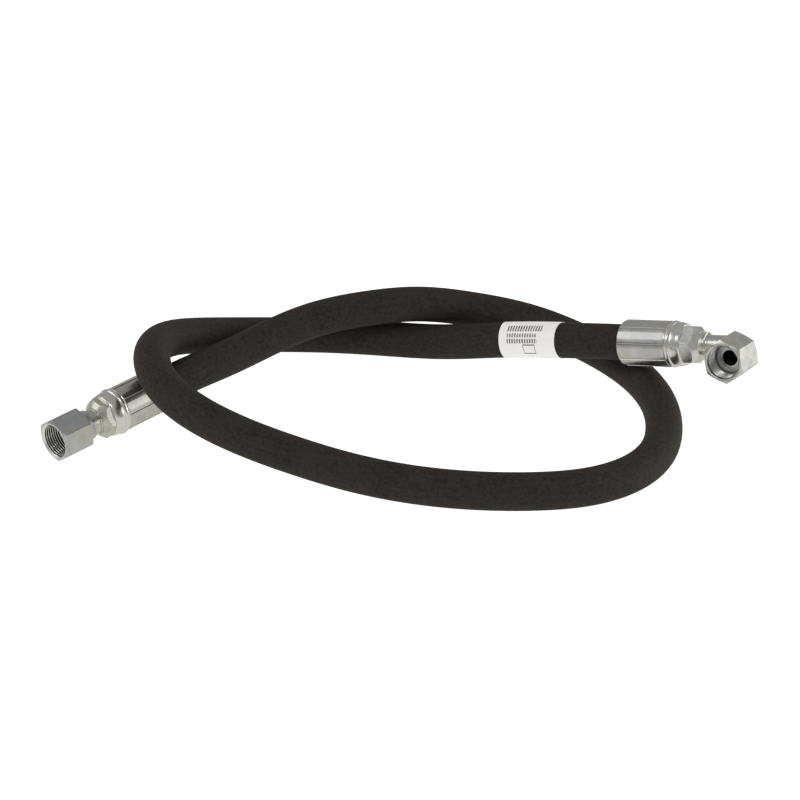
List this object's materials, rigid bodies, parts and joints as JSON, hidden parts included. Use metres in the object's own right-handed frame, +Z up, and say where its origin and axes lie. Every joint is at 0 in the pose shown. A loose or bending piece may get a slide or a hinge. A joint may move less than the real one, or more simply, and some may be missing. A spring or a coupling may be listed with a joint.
{
  "type": "hydraulic hose assembly",
  "caption": "Black rubber hydraulic hose in loose loops, with plated crimped ends: a straight swivel nut on one and a 90 degree tube elbow with a swivel nut on the other.",
  "frame": {"origin": "on the floor that the assembly lies on, under the middle of the box round its two end fittings", "axes": "+Z up; +X from the straight end towards the elbow end, along the longest side of the fittings' box; +Y towards the far side of the hose's loops"},
  "size_m": [0.4218, 0.271, 0.0667],
  "materials": {
    "cover_rubber": "matte, fine cloth impression",
    "inner_rubber": "smooth",
    "braid_wire": "bright drawn wire",
    "label_film": "satin",
    "plated_shell": "satin zinc plate",
    "plated_stem": "satin zinc plate",
    "plated_nut": "satin zinc plate",
    "plated_tube": "satin zinc plate",
    "braze_joint": "bright, plated over"
  },
  "bodies": {
    "assembly": {"inner_tube": "inner_rubber", "inner_wire_braid": "braid_wire", "bond_layer": "inner_rubber", "outer_wire_braid": "braid_wire", "hose_cover": "cover_rubber", "label_sleeve": "label_film", "left_shell": "plated_shell", "left_stem": "plated_stem", "right_shell": "plated_shell", "right_stem": "plated_stem", "right_tube": "plated_tube", "right_braze_ring": "braze_joint", "right_face_sleeve": "plated_stem"},
    "left_nut_body": {"left_nut": "plated_nut"},
    "right_nut_body": {"right_nut": "plated_nut"}
  },
  "joints": [
    {"name": "left_nut_turn", "type": "hinge", "parent": "assembly", "child": "left_nut_body", "pos_m": [-0.19789, -0.04443, 0.01425], "axis": [-0.7119, -0.6947, -0.1028], "continuous": true},
    {"name": "right_nut_turn", "type": "hinge", "parent": "assembly", "child": "right_nut_body", "pos_m": [0.19156, -0.02077, 0.05308], "axis": [-0.5208, -0.8503, 0.0755], "continuous": true}
  ]
}
